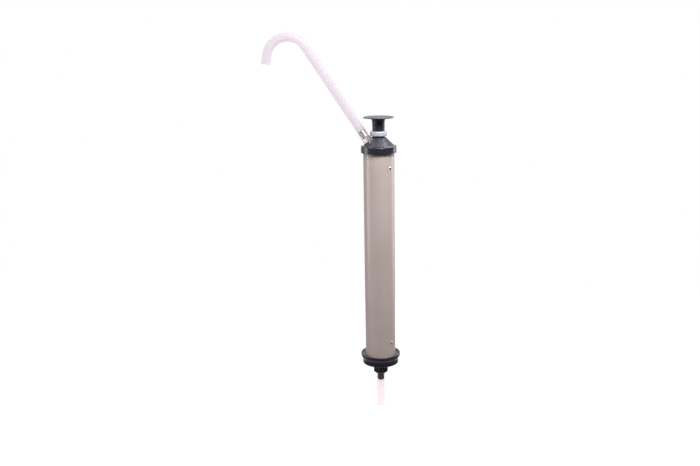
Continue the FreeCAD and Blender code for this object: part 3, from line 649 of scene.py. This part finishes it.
@dataclass
class TopCap:
    """Cone-shaped cap with its collar, skirt, nozzle seat and white gland nut."""

    nozzle: Nozzle
    collar: float = 28.5
    collar_height: float = 10.6
    socket: float = 8.0
    skirt: float = 22.5
    skirt_bore: float = 19.5
    skirt_length: float = 30.0
    groove: float = 20.6
    groove_low: float = -8.2
    groove_high: float = -5.8
    shoulder: float = 25.4
    shoulder_height: float = 11.0
    cone_top: float = 11.2
    cone_height: float = 24.9
    neck: float = 9.4
    pocket: float = 6.8
    pocket_floor: float = 15.0
    rod_hole: float = 4.3
    ceiling: float = 12.0
    ceiling_radius: float = 10.0
    cavity_foot: float = 5.0
    spotface: float = 9.4
    spotface_depth: float = 12.0
    port: float = 5.2
    port_depth: float = 6.0
    passage: float = 4.0
    passage_start: float = 15.7
    nut_round: float = 1.8
    nut_eye: float = 4.4
    nut_roof: float = 1.8
    fit: float = 0.1
    overcut: float = 1.0
    small_round: float = 0.2
    edge_round: float = 0.3
    mouth_round: float = 0.25
    skirt_round: float = 0.4
    foot_round: float = 0.8
    rim_round: float = 0.7
    shoulder_round: float = 1.6
    cone_round: float = 0.6
    cavity_round: float = 1.0

    def build(self) -> None:
        """Make the cap and the gland nut."""
        self.cap()
        self.gland_nut()

    def cap(self) -> None:
        """Turn the cap, then sink the nozzle's seat into the cone and bore its passage."""
        low, high = span("top_cap")
        edge = low + self.skirt_length
        neck_top = high - edge
        socket = girth("barrel_tube") + self.fit
        outline = [
            at(self.skirt_bore, -self.skirt_length, self.skirt_round),
            at(self.skirt, -self.skirt_length, self.foot_round),
            at(self.skirt, self.groove_low), at(self.groove, self.groove_low),
            at(self.groove, self.groove_high), at(self.skirt, self.groove_high),
            at(self.skirt, self.socket), at(socket, self.socket),
            at(socket, 0.0, self.mouth_round), at(self.collar, 0.0, self.rim_round),
            at(self.collar, self.collar_height, self.rim_round),
            at(self.shoulder, self.shoulder_height, self.shoulder_round),
            at(self.cone_top, self.cone_height, self.cone_round),
            at(self.neck, self.cone_height, self.small_round),
            at(self.neck, neck_top, self.edge_round), at(self.pocket, neck_top, self.small_round),
            at(self.pocket, self.pocket_floor), at(self.rod_hole, self.pocket_floor),
            at(self.rod_hole, self.ceiling), at(self.ceiling_radius, self.ceiling, self.cavity_round),
            at(self.skirt_bore, self.cavity_foot, self.cavity_round),
        ]
        shell = moved(lathe(outline), lifted(edge))
        axis = self.nozzle.place
        seat = self.nozzle.seat
        for radius, start, end in (
            (self.spotface, seat, seat + self.spotface_depth),
            (self.port, seat - self.port_depth, seat + self.overcut),
            (self.passage, self.passage_start, seat),
        ):
            shell = combine(shell, moved(rod(radius, start, end), axis), "DIFFERENCE")
        piece("top_cap_moulding", shell, CAP_ABS, ["top_cap"])

    def gland_nut(self) -> None:
        """Turn the white nut with its rounded edges."""
        low, high = span("gland_nut")
        radius = girth("gland_nut")
        height = high - low
        thread = self.neck + self.fit
        nut = lathe([
            at(thread, 0.0, self.edge_round), at(radius, 0.0, self.nut_round),
            at(radius, height, self.nut_round), at(self.nut_eye, height, self.edge_round),
            at(self.nut_eye, height - self.nut_roof), at(thread, height - self.nut_roof),
        ])
        piece("gland_ring", nut, RING_NYLON, ["gland_nut"], lifted(low))


# ------------------------------------------------------------------ hose tails


@dataclass
class HoseTail:
    """A hexagon with a ridged tail on one side and a threaded spigot on the other."""

    flats: float
    hexagon_length: float
    spigot: float
    spigot_length: float
    peak: float
    bore: float
    ridges: int
    thread_pitch: float
    foot_cut: float
    end_cut: float
    corner_cut: float = 0.1
    root: float = 5.2
    neck: float = 1.4
    pitch: float = 3.9
    thread_share: float = 0.35
    lead: float = 0.4
    lead_round: float = 0.2
    ridge_run: float = 0.05
    ridge_round: float = 0.12
    overcut: float = 1.0

    def solid(self) -> bmesh.types.BMesh:
        """Shape the fitting about +Z, with zero at the hexagon's lower face."""
        body = combine(hexagon(self.flats, 0.0, self.hexagon_length), self.corner_envelope(), "INTERSECT")
        body = combine(body, lathe(self.tail_outline(), SMALL_LATHE_STEPS * 2), "UNION")
        low = -self.spigot_length - self.overcut
        high = self.hexagon_length + self.neck + self.pitch * self.ridges + self.overcut
        return combine(body, rod(self.bore, low, high), "DIFFERENCE")

    def corner_envelope(self) -> bmesh.types.BMesh:
        """Turn the shape that takes the hexagon's corners down and chamfers both its ends."""
        corner = self.flats / math.sqrt(3.0) - self.corner_cut
        length = self.hexagon_length
        return lathe([
            at(0.0, 0.0), at(corner - self.foot_cut, 0.0), at(corner, self.foot_cut),
            at(corner, length - self.end_cut), at(corner - self.end_cut, length), at(0.0, length),
        ], SMALL_LATHE_STEPS * 2)

    def tail_outline(self) -> list[Corner]:
        """List the corners of the thread, the core and the saw-tooth ridges."""
        low = -self.spigot_length
        outline = [at(0.0, low), at(self.spigot - self.lead, low, self.lead_round)]
        turns = int(self.spigot_length / self.thread_pitch) - 1
        half = self.thread_pitch * 0.5
        valley = self.spigot - self.thread_pitch * self.thread_share
        for turn in range(turns):
            start = low + self.thread_pitch * turn + half
            outline += [at(valley, start), at(self.spigot, start + half)]
        middle = self.hexagon_length * 0.5
        outline += [at(valley, -half), at(valley, middle), at(self.root, middle)]
        start = self.hexagon_length + self.neck
        for ridge in range(self.ridges):
            foot = start + self.pitch * ridge
            outline += [at(self.root, foot), at(self.peak, foot + self.ridge_run, self.ridge_round)]
        end = start + self.pitch * self.ridges
        return outline + [at(self.root, end), at(0.0, end)]


@dataclass
class Outlet:
    """The nickel-plated hose tail that sits in the top cap's cone."""

    nozzle: Nozzle
    flats: float = 15.4
    spigot: float = 5.15
    spigot_length: float = 6.3
    peak: float = 5.95
    bore: float = 3.9
    ridges: int = 3
    thread_pitch: float = 1.0

    def build(self) -> None:
        """Make the fitting on the nozzle's axis."""
        tail = HoseTail(
            flats=self.flats, hexagon_length=self.nozzle.hexagon_length, spigot=self.spigot,
            spigot_length=self.spigot_length, peak=self.peak, bore=self.bore, ridges=self.ridges,
            thread_pitch=self.thread_pitch, foot_cut=0.3, end_cut=0.5,
        )
        face = self.nozzle.seat + self.nozzle.washer
        place = self.nozzle.place @ lifted(face)
        piece("outlet_hose_tail", tail.solid(), TAIL_NICKEL, ["outlet_fitting"], place)


@dataclass
class Inlet:
    """The black hose tail under the base cap."""

    tail: HoseTail = field(default_factory=lambda: HoseTail(
        flats=23.4, hexagon_length=17.0, spigot=9.0, spigot_length=9.6, peak=6.0, bore=4.2, ridges=3,
        thread_pitch=1.8, foot_cut=0.7, end_cut=3.0, corner_cut=0.51,
    ))

    def build(self) -> None:
        """Make the fitting, turned over so that its tail points down."""
        low, high = span("inlet_washer")
        place = lifted(low) @ Matrix.Rotation(math.pi, 4, "X")
        piece("inlet_hose_tail", self.tail.solid(), FITTING_NYLON, ["inlet_fitting"], place)


# ------------------------------------------------------------------ tubes


@dataclass
class Tubes:
    """The formed spout and the straight suction tube, both of 15 mm tube."""

    nozzle: Nozzle
    outer: float = 7.5
    wall: float = 1.5
    sides: int = 72
    leg_steps: int = 24
    bend_steps: int = 64
    leg: float = 170.2
    bend_radius: float = 33.0
    bend: float = 139.0
    tip: float = 13.0
    tip_steps: int = 3
    cut_round: float = 0.3
    cut_segments: int = 3
    rim_slack: float = 0.1

    def build(self) -> None:
        """Make both tubes."""
        self.spout()
        self.suction()

    def ring(self) -> tuple[bmesh.types.BMesh, list[bmesh.types.BMEdge]]:
        """Start a tube as a ring of edges at zero."""
        skin = bmesh.new()
        bmesh.ops.create_circle(skin, cap_ends=False, radius=self.outer * MM, segments=self.sides)
        return skin, skin.edges[:]

    def run(
        self,
        skin: bmesh.types.BMesh,
        edges: list[bmesh.types.BMEdge],
        heading: Vector,
        length: float,
        steps: int,
    ) -> list[bmesh.types.BMEdge]:
        """Push a ring of edges along a straight stretch.

        Args:
            skin: The tube so far.
            edges: The ring at its open end.
            heading: The way to go.
            length: How far, in millimetres.
            steps: In how many steps.

        Returns:
            The ring at the new end.
        """
        for _ in range(steps):
            pushed = bmesh.ops.extrude_edge_only(skin, edges=edges)["geom"]
            verts = [item for item in pushed if isinstance(item, bmesh.types.BMVert)]
            bmesh.ops.translate(skin, verts=verts, vec=heading * (length / steps * MM))
            fresh = set(verts)
            edges = [e for e in skin.edges if e.verts[0] in fresh and e.verts[1] in fresh]
        return edges

    def walled(self, skin: bmesh.types.BMesh, ends: Sequence[tuple[Vector, Vector]]) -> bmesh.types.BMesh:
        """Give the skin its wall and break the edges of its cut ends.

        Args:
            skin: The tube's outer skin.
            ends: A point on each cut end and that end's direction, in metres.

        Returns:
            The closed tube.
        """
        tidy(skin)
        bmesh.ops.solidify(skin, geom=skin.faces[:], thickness=self.wall * MM)
        rims = []
        for edge in skin.edges:
            for point, heading in ends:
                gaps = [abs((v.co - point).dot(heading)) for v in edge.verts]
                radii = [(v.co - point).length for v in edge.verts]
                if max(gaps) < WELD and abs(radii[0] - radii[1]) < self.rim_slack * MM:
                    rims.append(edge)
        bmesh.ops.bevel(
            skin, geom=rims, affect="EDGES", offset=self.cut_round * MM, offset_type="OFFSET",
            segments=self.cut_segments, profile=0.5, material=-1,
        )
        bmesh.ops.recalc_face_normals(skin, faces=skin.faces[:])
        return skin

    def spout(self) -> None:
        """Form the spout: a straight leg, one bend back over itself and a short tip."""
        skin, edges = self.ring()
        edges = self.run(skin, edges, UP, self.leg, self.leg_steps)
        centre = Vector((-self.bend_radius * MM, 0.0, self.leg * MM))
        ring = list({vert for edge in edges for vert in edge.verts})
        angle = math.radians(self.bend)
        swept = bmesh.ops.spin(
            skin, geom=ring + edges, cent=centre, axis=(0.0, -1.0, 0.0), angle=angle,
            steps=self.bend_steps, use_merge=False,
        )["geom_last"]
        edges = [item for item in swept if isinstance(item, bmesh.types.BMEdge)]
        heading = Vector((-math.sin(angle), 0.0, math.cos(angle)))
        self.run(skin, edges, heading, self.tip, self.tip_steps)
        across = Vector((math.cos(angle), 0.0, math.sin(angle)))
        tip_centre = centre + across * (self.bend_radius * MM) + heading * (self.tip * MM)
        tube = self.walled(skin, [(Vector(), UP), (tip_centre, heading)])
        nozzle = self.nozzle
        start = nozzle.seat + nozzle.washer + nozzle.hexagon_length + nozzle.tube_gap
        piece("spout_formed_tube", tube, SPOUT_PVC, ["spout_tube"], nozzle.place @ lifted(start))

    def suction(self) -> None:
        """Cut the straight length under the pump."""
        low, high = span("suction_tube")
        skin, edges = self.ring()
        self.run(skin, edges, UP, high - low, self.leg_steps // 2)
        end = UP * ((high - low) * MM)
        tube = self.walled(skin, [(Vector(), UP), (end, UP)])
        piece("suction_cut_tube", tube, SUCTION_PVC, ["suction_tube"], lifted(low))


# ------------------------------------------------------------------ base cap


@dataclass
class BaseCap:
    """The flanged cap that closes the barrel's foot."""

    wall: float = 30.0
    wall_height: float = 8.1
    flange: float = 32.75
    flange_foot: float = 13.1
    flange_top: float = 17.4
    lip: float = 29.8
    recess: float = 28.6
    recess_floor: float = 15.2
    floor: float = 5.9
    skirt: float = 22.5
    skirt_bore: float = 18.5
    ledge: float = 16.8
    ledge_height: float = 16.4
    groove: float = 20.6
    groove_low: float = 23.2
    groove_high: float = 25.6
    hole: float = 9.1
    fit: float = 0.1
    foot_round: float = 1.5
    edge_round: float = 0.8
    rim_round: float = 0.7
    lip_round: float = 0.6
    inner_round: float = 0.4
    mouth_round: float = 0.2

    def build(self) -> None:
        """Turn the cap."""
        low, high = span("base_cap")
        socket = girth("barrel_tube") + self.fit
        cap = lathe([
            at(self.hole, 0.0), at(self.wall, 0.0, self.foot_round),
            at(self.wall, self.wall_height, self.edge_round),
            at(self.flange, self.flange_foot, self.lip_round),
            at(self.flange, self.flange_top, self.rim_round),
            at(self.lip, self.flange_top, self.lip_round),
            at(self.recess, self.recess_floor, self.inner_round),
            at(socket, self.recess_floor, self.mouth_round), at(socket, self.floor),
            at(self.skirt, self.floor),
            at(self.skirt, self.groove_low), at(self.groove, self.groove_low),
            at(self.groove, self.groove_high), at(self.skirt, self.groove_high),
            at(self.skirt, high - low, self.edge_round),
            at(self.skirt_bore, high - low, self.inner_round),
            at(self.skirt_bore, self.ledge_height), at(self.ledge, self.ledge_height),
            at(self.ledge, self.floor), at(self.hole, self.floor),
        ])
        piece("base_cap_moulding", cap, BASE_ABS, ["base_cap"], lifted(low))


# ------------------------------------------------------------------ plunger


@dataclass
class Plunger:
    """The knob and the rod; the piston's own pieces keep their CAD shapes."""

    stem: float = 9.8
    neck: float = 10.0
    neck_height: float = 14.5
    throat: float = 11.0
    throat_height: float = 18.6
    under: float = 13.5
    under_height: float = 20.0
    rim_low: float = 20.7
    rim_high: float = 22.3
    dish_edge: float = 15.0
    dish: float = 21.9
    rim_round: float = 0.7
    eye_round: float = 0.3
    foot_round: float = 0.5
    neck_round: float = 1.5
    throat_round: float = 1.2
    under_round: float = 1.4
    dish_round: float = 2.0
    socket: float = 6.0
    socket_top: float = 14.0
    insert_low: float = 2.0
    rod_chamfer: float = 0.6
    clip_groove: float = 3.6

    def build(self) -> None:
        """Make the knob and the rod."""
        self.knob()
        self.rod()

    def knob(self) -> None:
        """Turn the mushroom knob: thin dished disc, flared throat and plain stem."""
        low, high = span("knob")
        radius = girth("knob")
        rod_radius = girth("piston_rod")
        shape = lathe([
            at(rod_radius, 0.0, self.eye_round), at(self.stem, 0.0, self.foot_round),
            at(self.neck, self.neck_height, self.neck_round),
            at(self.throat, self.throat_height, self.throat_round),
            at(self.under, self.under_height, self.under_round),
            at(radius, self.rim_low, self.rim_round), at(radius, self.rim_high, self.rim_round),
            at(self.dish_edge, self.dish, self.dish_round), at(0.0, self.dish),
            at(0.0, self.socket_top), at(self.socket, self.socket_top),
            at(self.socket, self.insert_low), at(rod_radius, self.insert_low),
        ])
        piece("pull_knob", shape, KNOB_PP, ["knob"], lifted(low))

    def rod(self) -> None:
        """Turn the rod with its broken ends and circlip groove."""
        low, high = span("piston_rod")
        clip_low, clip_high = span("rod_circlip")
        radius = girth("piston_rod")
        bar = lathe([
            at(0.0, low), at(radius, low, self.rod_chamfer), at(radius, clip_low),
            at(self.clip_groove, clip_low), at(self.clip_groove, clip_high), at(radius, clip_high),
            at(radius, high, self.rod_chamfer), at(0.0, high),
        ], LATHE_STEPS // 2)
        piece("plunger_rod", bar, ROD_STAINLESS, ["piston_rod"])


# ------------------------------------------------------------------ inner pieces kept from the frame

KEPT_FINISHES = {
    "rod_bush": BUSH_PTFE,
    "rod_seal": SEAL_NITRILE,
    "upstroke_buffer": SEAL_NITRILE,
    "top_cap_oring": SEAL_NITRILE,
    "base_cap_oring": SEAL_NITRILE,
    "outlet_washer": SEAL_NITRILE,
    "inlet_washer": SEAL_NITRILE,
    "inlet_lock_nut": FITTING_NYLON,
    "foot_valve_seat": VALVE_ACETAL,
    "foot_valve_disc": SEAL_NITRILE,
    "foot_valve_pin": HARDWARE_STAINLESS,
    "piston_body": VALVE_ACETAL,
    "piston_cup": SEAL_NITRILE,
    "valve_sleeve": VALVE_ACETAL,
    "piston_valve_disc": SEAL_NITRILE,
    "valve_stop_washer": HARDWARE_STAINLESS,
    "rod_circlip": HARDWARE_STAINLESS,
    "piston_washer": HARDWARE_STAINLESS,
    "piston_nut": HARDWARE_STAINLESS,
    "knob_insert": INSERT_BRASS,
}


def dress_kept_nodes() -> None:
    """Give every CAD node that stays visible its real finish."""
    for name, finish in KEPT_FINISHES.items():
        for place in frame["nodes"][name].material_slots:
            place.material = finish.material()
        LOG.info("%s keeps its shape, %s", name, finish.name)


# ------------------------------------------------------------------ studio


@dataclass
class Softbox:
    """A rectangular studio light that faces a point on the pump."""

    name: str
    place: tuple[float, float, float]
    width: float
    height: float
    power: float
    aim: tuple[float, float, float] = (0.0, 0.0, 0.05)
    colour: tuple[float, float, float] = (1.0, 1.0, 1.0)

    def build(self) -> None:
        """Hang the light."""
        lamp = bpy.data.lights.new(self.name, "AREA")
        lamp.shape = "RECTANGLE"
        lamp.size = self.width
        lamp.size_y = self.height
        lamp.energy = self.power
        lamp.color = self.colour
        made = bpy.data.objects.new(self.name, lamp)
        bpy.context.scene.collection.objects.link(made)
        made.visible_camera = False
        made.location = self.place
        made.rotation_euler = (Vector(self.aim) - Vector(self.place)).to_track_quat("-Z", "Y").to_euler()


@dataclass
class Studio:
    """The floor, the lights, the surroundings and the camera.

    Attributes:
        floor_drop: How far the floor lies below the pump.
        floor_size: Side of the square floor.
        floor_glow: Strength of the light from behind the floor.
        lens: Focal length, in millimetres.
        sensor: Width of the camera's sensor, in millimetres.
        camera_place: Where the camera stands.
        pitch: How far it looks down.
        roll: How far it leans.
        front_room: Brightness of the room in front of the pump.
        ceiling: Brightness overhead.
        back_wall: Brightness added behind the pump.
        side_walls: Brightness added at either side.
        ground: Brightness added underfoot.
        room_start: Share of a direction at which the ceiling and the back wall start to show.
        side_start: The same for the side walls.
        ground_start: The same for the ground.
        fade_end: Share at which each of them is at its brightest.
    """

    floor_drop: float = 0.19
    floor_size: float = 2.4
    floor_glow: float = 1.1
    lens: float = 45.08
    sensor: float = 36.0
    camera_place: tuple[float, float, float] = (-0.0482, -1.397, 0.36)
    pitch: float = 13.0
    roll: float = -1.0
    front_room: float = 0.13
    ceiling: float = 2.2
    back_wall: float = 0.8
    side_walls: float = 0.1
    ground: float = 0.45
    room_start: float = 0.35
    side_start: float = 0.4
    ground_start: float = 0.45
    fade_end: float = 0.95

    def build(self) -> None:
        """Set everything up."""
        self.floor()
        self.surroundings()
        self.camera()
        for light in (
            Softbox("left_softbox", (-1.15, 0.05, 0.2), 0.4, 1.2, 9.0),
            Softbox("right_softbox", (1.0, 0.6, 0.2), 0.3, 1.2, 5.5),
            Softbox(
                "front_softbox", (0.17, -0.45, 0.78), 0.46, 0.32, 22.0, (0.0, 0.0, 0.12), (0.88, 0.94, 1.0),
            ),
            Softbox("back_softbox", (0.25, 0.9, 1.0), 0.8, 0.5, 2.5, (0.0, 0.0, 0.18)),
            Softbox("low_card", (-0.53, -0.34, -0.23), 0.16, 0.16, 0.2, (-0.02, 0.0, 0.19)),
            Softbox("streak_softbox", (0.52, 0.16, 1.15), 0.14, 0.4, 1.6, (0.0, 0.0, 0.18)),
        ):
            light.build()
        view = bpy.context.scene.view_settings
        view.view_transform = "Standard"
        view.look = "None"
        LOG.info("studio ready")

    def floor(self) -> None:
        """Lay a backlit white table below the pump, clear of it."""
        low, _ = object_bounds()
        sheet = bmesh.new()
        bmesh.ops.create_grid(sheet, x_segments=1, y_segments=1, size=self.floor_size / 2.0)
        bmesh.ops.translate(sheet, verts=sheet.verts[:], vec=(0.0, 0.0, low[2] - self.floor_drop))
        mesh = bpy.data.meshes.new("floor")
        sheet.to_mesh(mesh)
        sheet.free()
        paint = bpy.data.materials.new("backlit_white_floor")
        paint.use_nodes = True
        shader = paint.node_tree.nodes["Principled BSDF"]
        shader.inputs["Base Color"].default_value = linear("#303030")
        shader.inputs["Roughness"].default_value = 0.9
        shader.inputs["Emission Color"].default_value = linear("#ffffff")
        shader.inputs["Emission Strength"].default_value = self.floor_glow
        mesh.materials.append(paint)
        made = bpy.data.objects.new("floor", mesh)
        bpy.context.scene.collection.objects.link(made)
        made.visible_diffuse = False
        made.visible_glossy = False
        made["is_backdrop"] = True

    def glow(
        self, tree: bpy.types.NodeTree, along: bpy.types.NodeSocket, start: float, low: float, high: float,
    ) -> bpy.types.NodeSocket:
        """Fade the room's brightness along one direction.

        Args:
            tree: The world's tree.
            along: The share of the direction.
            start: The share at which the fade starts.
            low: Brightness before the fade.
            high: Brightness after it.

        Returns:
            The brightness.
        """
        return add_node(
            tree, "ShaderNodeMapRange", {"interpolation_type": "SMOOTHSTEP"},
            {"Value": along, "From Min": start, "From Max": self.fade_end, "To Min": low, "To Max": high},
        ).outputs["Result"]

    def surroundings(self) -> None:
        """Surround the set with a room that is bright overhead, behind and underfoot and dim in front."""
        world = bpy.data.worlds.new("studio")
        bpy.context.scene.world = world
        world.use_nodes = True
        tree = world.node_tree
        tree.nodes.clear()
        seen = add_node(tree, "ShaderNodeLightPath").outputs["Is Camera Ray"]
        heading = add_node(
            tree, "ShaderNodeSeparateXYZ", {},
            {"Vector": add_node(tree, "ShaderNodeTexCoord").outputs["Generated"]},
        )
        down = add_node(tree, "ShaderNodeMath", {"operation": "MULTIPLY"}, {0: heading.outputs["Z"], 1: -1.0})
        across = add_node(tree, "ShaderNodeMath", {"operation": "ABSOLUTE"}, {0: heading.outputs["X"]})
        brightness = self.glow(tree, heading.outputs["Z"], self.room_start, self.front_room, self.ceiling)
        for along, start, high in (
            (heading.outputs["Y"], self.room_start, self.back_wall),
            (across.outputs["Value"], self.side_start, self.side_walls),
            (down.outputs["Value"], self.ground_start, self.ground),
        ):
            part = self.glow(tree, along, start, 0.0, high)
            brightness = add_node(
                tree, "ShaderNodeMath", {"operation": "ADD"}, {0: brightness, 1: part},
            ).outputs["Value"]
        room = add_node(
            tree, "ShaderNodeBackground", {}, {"Color": linear("#f9f4ff"), "Strength": brightness},
        )
        backdrop = add_node(tree, "ShaderNodeBackground", {}, {"Color": linear("#ffffff"), "Strength": 1.0})
        mixed = add_node(
            tree, "ShaderNodeMixShader", {},
            {0: seen, 1: room.outputs["Background"], 2: backdrop.outputs["Background"]},
        )
        add_node(tree, "ShaderNodeOutputWorld", {}, {"Surface": mixed.outputs["Shader"]})

    def camera(self) -> None:
        """Set the camera in front of the pump, above its middle and looking down a little."""
        data = bpy.data.cameras.new("camera")
        data.lens = self.lens
        data.sensor_width = self.sensor
        made = bpy.data.objects.new("camera", data)
        bpy.context.scene.collection.objects.link(made)
        tilt = Matrix.Rotation(math.radians(90.0 - self.pitch), 4, "X")
        roll = Matrix.Rotation(math.radians(self.roll), 4, "Z")
        made.matrix_world = Matrix.Translation(self.camera_place) @ tilt @ roll
        bpy.context.scene.camera = made


def main() -> None:
    """Build the pump and its studio."""
    logging.basicConfig(level=logging.INFO, format="%(message)s")
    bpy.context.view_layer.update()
    nozzle = Nozzle()
    for assembly in (
        Barrel(), TopCap(nozzle), Outlet(nozzle), Tubes(nozzle), BaseCap(), Inlet(), Plunger(), Studio(),
    ):
        assembly.build()
    dress_kept_nodes()


if __name__ == "__main__":
    main()
